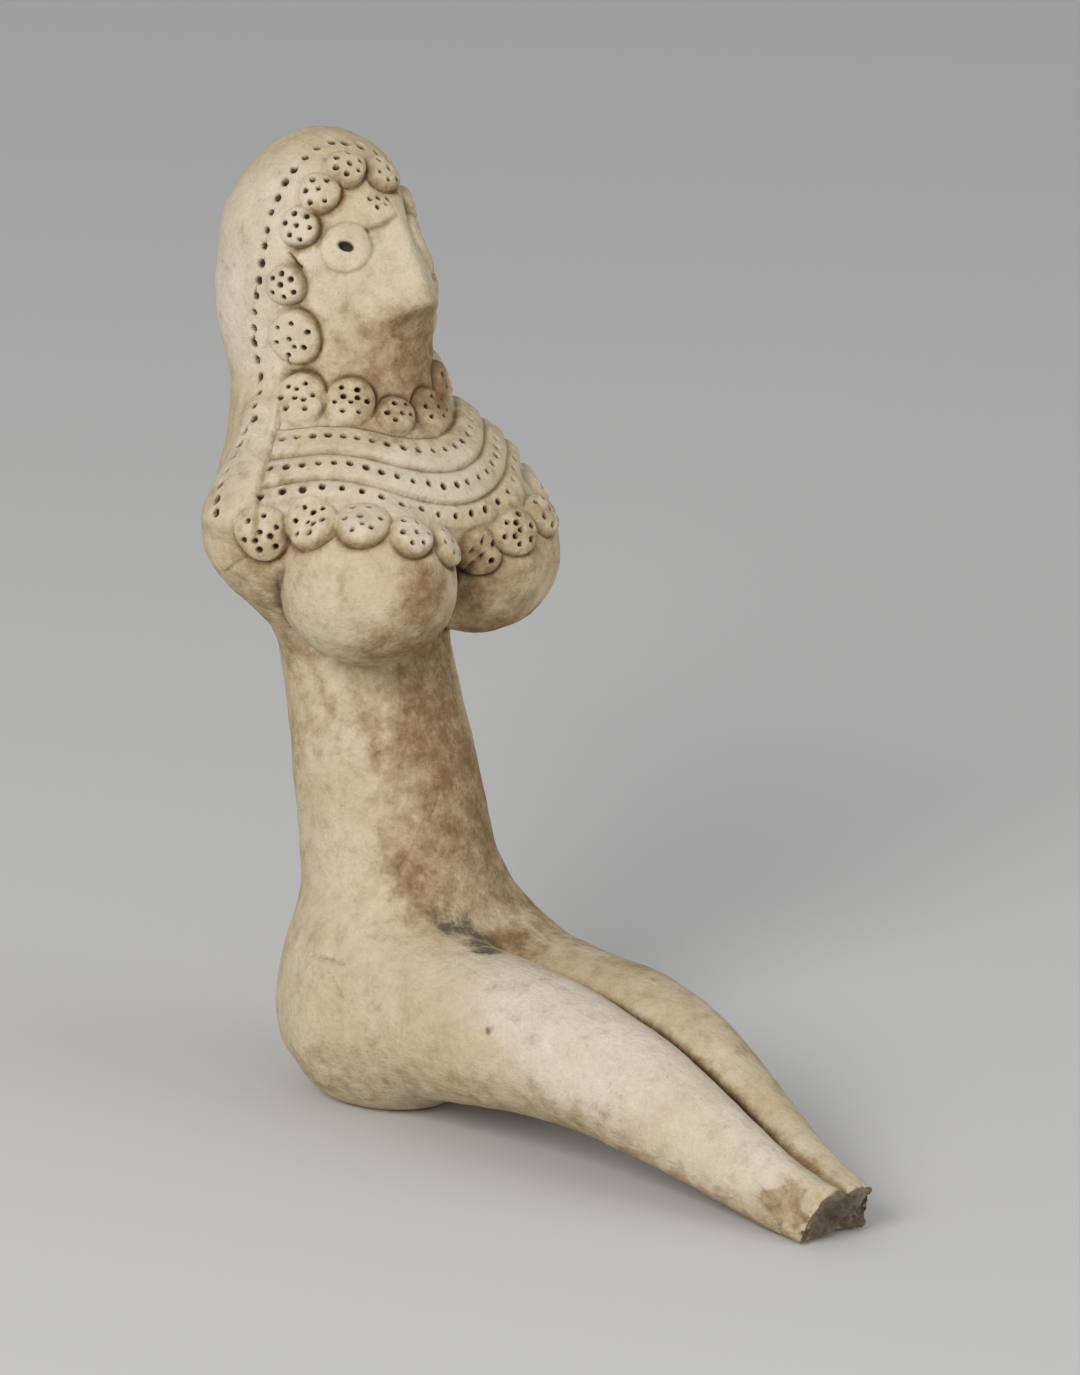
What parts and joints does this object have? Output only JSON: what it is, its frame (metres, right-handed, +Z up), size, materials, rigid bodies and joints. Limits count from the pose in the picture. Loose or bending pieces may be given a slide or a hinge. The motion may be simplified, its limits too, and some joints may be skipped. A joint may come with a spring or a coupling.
{
  "type": "mother goddess figurine",
  "caption": "Seated mother goddess figurine of fired clay with a hood, rosette pellets, a tiered necklace and broken feet.",
  "frame": {"origin": "on the surface that the figurine sits on, under the middle of its hips", "axes": "+Z up; the figure faces -Y with its legs along -Y, and its left side is at +X"},
  "size_m": [0.045, 0.1039, 0.1082],
  "materials": {
    "fired_clay": "matte, unglazed fired clay, pale buff with soil stains"
  },
  "bodies": {
    "root": {"mother_goddess_figurine": "fired_clay"}
  },
  "joints": []
}
